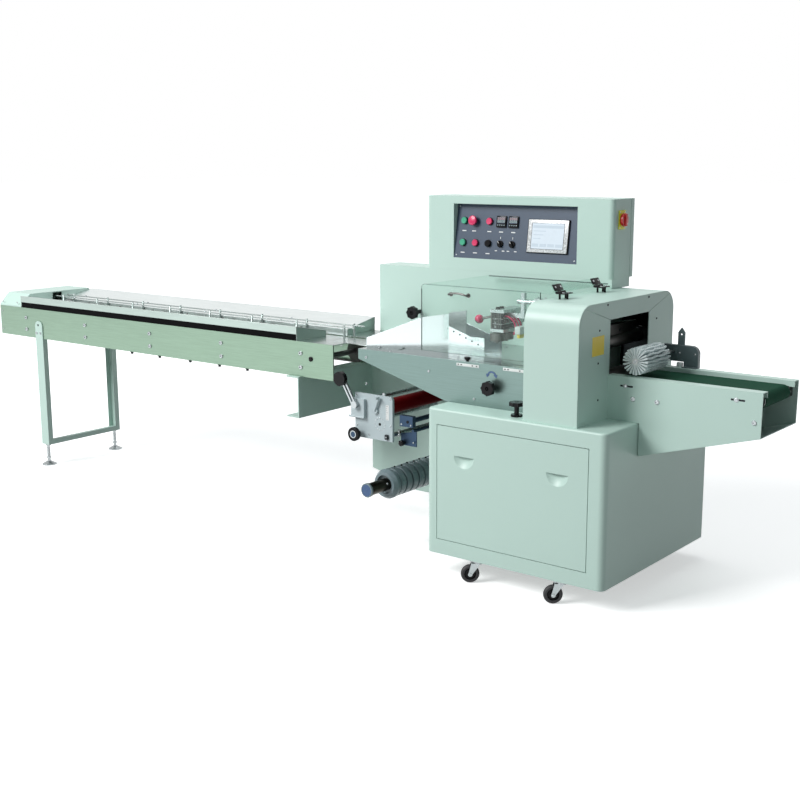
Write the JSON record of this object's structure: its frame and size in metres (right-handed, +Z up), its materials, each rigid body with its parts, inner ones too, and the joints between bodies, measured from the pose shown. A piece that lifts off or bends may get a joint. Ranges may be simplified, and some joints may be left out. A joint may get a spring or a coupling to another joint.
{
  "type": "horizontal flow wrapper",
  "caption": "Horizontal flow wrapper: chain infeed, film reel and forming table, hinged guard, rotary end jaws in a hood, brushed outfeed belt, wheeled cabinet and control box.",
  "frame": {"origin": "centre of the footprint of the outer box, on the floor", "axes": "+X along the product's travel towards the outfeed, +Y from the operator's side to the rear, +Z up"},
  "size_m": [4.208, 0.8626, 1.443],
  "materials": {
    "paint": "satin powder coat, pale mint",
    "paint_dark": "satin dark slate blue",
    "steel": "brushed stainless",
    "steel_dark": "ground tool steel",
    "zinc": "bright zinc plate",
    "aluminium": "anodised",
    "rubber_black": "matt",
    "rubber_red": "matt dark red",
    "belt_green": "satin green belt",
    "plastic_black": "matt black",
    "plastic_red": "gloss red",
    "plastic_grey": "matt grey blue",
    "plastic_white": "soft white bristle",
    "clear": "clear sheet",
    "bronze": "turned bronze"
  },
  "bodies": {
    "machine": {"base_cabinet": "paint", "front_panel": "paint", "caster_plates": "zinc", "main_plate": "paint", "rear_housing": "paint", "infeed_bracket": "paint", "control_box": "paint", "control_panel": "paint_dark", "panel_instruments": "plastic_black", "sealer_hood": "paint", "hood_side_panels": "paint", "jaw_bearing_blocks": "aluminium", "front_apron": "steel", "table_plate": "steel", "former_wings": "steel", "cover_hinges": "zinc", "centre_seal_unit": "aluminium", "infeed_side_plates": "paint", "infeed_deck": "steel", "infeed_trays": "steel", "infeed_guides": "steel", "pusher_chain": "steel_dark", "infeed_shafts": "steel_dark", "infeed_end_cover": "steel", "infeed_legs": "paint", "levelling_feet": "zinc", "film_unit_plate": "paint", "film_cross_rods": "steel", "sensor_block": "aluminium", "outfeed_frame": "paint", "outfeed_bed": "steel", "outfeed_belt": "belt_green", "brush_arm": "paint"},
    "fork_1": {"caster_fork_1": "zinc"},
    "wheel_1": {"caster_wheel_1": "rubber_black"},
    "fork_2": {"caster_fork_2": "zinc"},
    "wheel_2": {"caster_wheel_2": "rubber_black"},
    "fork_3": {"caster_fork_3": "zinc"},
    "wheel_3": {"caster_wheel_3": "rubber_black"},
    "fork_4": {"caster_fork_4": "zinc"},
    "wheel_4": {"caster_wheel_4": "rubber_black"},
    "cover": {"guard_cover": "clear"},
    "upper_jaw_body": {"upper_jaw": "steel_dark"},
    "lower_jaw_body": {"lower_jaw": "steel_dark"},
    "front_seal_wheel": {"seal_wheel_front": "steel_dark"},
    "rear_seal_wheel": {"seal_wheel_rear": "steel_dark"},
    "lever": {"seal_lever": "plastic_red"},
    "roller": {"rubber_roller": "rubber_red"},
    "nip": {"nip_lever": "steel"},
    "tension": {"tension_knob": "plastic_black"},
    "reel": {"reel_shaft": "bronze", "reel_rings": "plastic_grey"},
    "brush": {"brush_roller": "plastic_white"},
    "apron_hand_knob": {"apron_knob": "plastic_black"},
    "wall_hand_knob": {"wall_knob": "plastic_black"},
    "clamp_hand_knob": {"clamp_knob": "plastic_black"},
    "stop_button": {"emergency_stop": "plastic_red"},
    "selector_1": {"selector_knob_1": "plastic_black"},
    "selector_2": {"selector_knob_2": "plastic_black"},
    "main_switch": {"main_switch_knob": "plastic_red"}
  },
  "joints": [
    {"name": "caster_swivel_1", "type": "hinge", "parent": "machine", "child": "fork_1", "pos_m": [1.094, -0.38366, 0.084], "axis": [0, 0, 1], "continuous": true},
    {"name": "caster_spin_1", "type": "hinge", "parent": "fork_1", "child": "wheel_1", "pos_m": [1.07036, -0.40213, 0.036], "axis": [-0.6157, 0.788, 0], "continuous": true},
    {"name": "caster_swivel_2", "type": "hinge", "parent": "machine", "child": "fork_2", "pos_m": [1.464, -0.38366, 0.084], "axis": [0, 0, 1], "continuous": true},
    {"name": "caster_spin_2", "type": "hinge", "parent": "fork_2", "child": "wheel_2", "pos_m": [1.44036, -0.40213, 0.036], "axis": [-0.6157, 0.788, 0], "continuous": true},
    {"name": "caster_swivel_3", "type": "hinge", "parent": "machine", "child": "fork_3", "pos_m": [1.094, 0.40734, 0.084], "axis": [0, 0, 1], "continuous": true},
    {"name": "caster_spin_3", "type": "hinge", "parent": "fork_3", "child": "wheel_3", "pos_m": [1.07036, 0.38887, 0.036], "axis": [-0.6157, 0.788, 0], "continuous": true},
    {"name": "caster_swivel_4", "type": "hinge", "parent": "machine", "child": "fork_4", "pos_m": [1.464, 0.40734, 0.084], "axis": [0, 0, 1], "continuous": true},
    {"name": "caster_spin_4", "type": "hinge", "parent": "fork_4", "child": "wheel_4", "pos_m": [1.44036, 0.38887, 0.036], "axis": [-0.6157, 0.788, 0], "continuous": true},
    {"name": "cover_lift", "type": "hinge", "parent": "machine", "child": "cover", "pos_m": [1.326, -0.05766, 1.119], "axis": [0, 1, 0], "range_deg": [0, 80]},
    {"name": "upper_jaw_spin", "type": "hinge", "parent": "machine", "child": "upper_jaw_body", "pos_m": [1.409, -0.02516, 0.9175], "axis": [0, 1, 0], "continuous": true},
    {"name": "lower_jaw_spin", "type": "hinge", "parent": "machine", "child": "lower_jaw_body", "pos_m": [1.409, -0.02516, 0.7825], "axis": [0, 1, 0], "continuous": true},
    {"name": "seal_wheel_front_spin", "type": "hinge", "parent": "machine", "child": "front_seal_wheel", "pos_m": [0.965, -0.07566, 0.891], "axis": [0, 0, 1], "continuous": true},
    {"name": "seal_wheel_rear_spin", "type": "hinge", "parent": "machine", "child": "rear_seal_wheel", "pos_m": [0.965, -0.01166, 0.891], "axis": [0, 0, 1], "continuous": true},
    {"name": "seal_lever_turn", "type": "hinge", "parent": "machine", "child": "lever", "pos_m": [0.938, -0.04366, 0.986], "axis": [0, 1, 0], "range_deg": [0, 50]},
    {"name": "rubber_roller_spin", "type": "hinge", "parent": "machine", "child": "roller", "pos_m": [0.572, -0.05766, 0.607], "axis": [0, 1, 0], "continuous": true},
    {"name": "nip_lever_turn", "type": "hinge", "parent": "machine", "child": "nip", "pos_m": [0.439, -0.32266, 0.609], "axis": [0, 1, 0], "range_deg": [0, 35]},
    {"name": "tension_knob_turn", "type": "hinge", "parent": "machine", "child": "tension", "pos_m": [0.439, -0.30766, 0.486], "axis": [0, 1, 0], "continuous": true},
    {"name": "reel_spin", "type": "hinge", "parent": "machine", "child": "reel", "pos_m": [0.533, -0.10766, 0.268], "axis": [0, 1, 0], "continuous": true},
    {"name": "brush_spin", "type": "hinge", "parent": "machine", "child": "brush", "pos_m": [1.619, -0.02766, 0.8845], "axis": [0, 1, 0], "continuous": true},
    {"name": "apron_knob_turn", "type": "hinge", "parent": "machine", "child": "apron_hand_knob", "pos_m": [1.081, -0.27566, 0.746], "axis": [0, 1, 0], "continuous": true},
    {"name": "wall_knob_turn", "type": "hinge", "parent": "machine", "child": "wall_hand_knob", "pos_m": [0.377, 0.19234, 0.936], "axis": [0, 1, 0], "continuous": true},
    {"name": "clamp_knob_turn", "type": "hinge", "parent": "machine", "child": "clamp_hand_knob", "pos_m": [1.232, -0.34166, 0.664], "axis": [0, 0, 1], "continuous": true},
    {"name": "emergency_stop_press", "type": "slide", "parent": "machine", "child": "stop_button", "axis": [0, 0.9909, -0.1347], "range_m": [0, 0.004], "stiffness_N_per_m": 300},
    {"name": "selector_1_turn", "type": "hinge", "parent": "machine", "child": "selector_1", "pos_m": [0.788, 0.20324, 1.2484], "axis": [0, -0.9909, 0.1347], "range_deg": [0, 90]},
    {"name": "selector_2_turn", "type": "hinge", "parent": "machine", "child": "selector_2", "pos_m": [0.847, 0.20324, 1.2484], "axis": [0, -0.9909, 0.1347], "range_deg": [0, 90]},
    {"name": "main_switch_turn", "type": "hinge", "parent": "machine", "child": "main_switch", "pos_m": [1.321, 0.25634, 1.362], "axis": [1, 0, 0], "range_deg": [0, 90]}
  ],
  "couplings": [
    {"joint": "lower_jaw_spin", "follows": "upper_jaw_spin", "ratio": -1},
    {"joint": "seal_wheel_rear_spin", "follows": "seal_wheel_front_spin", "ratio": -1}
  ]
}
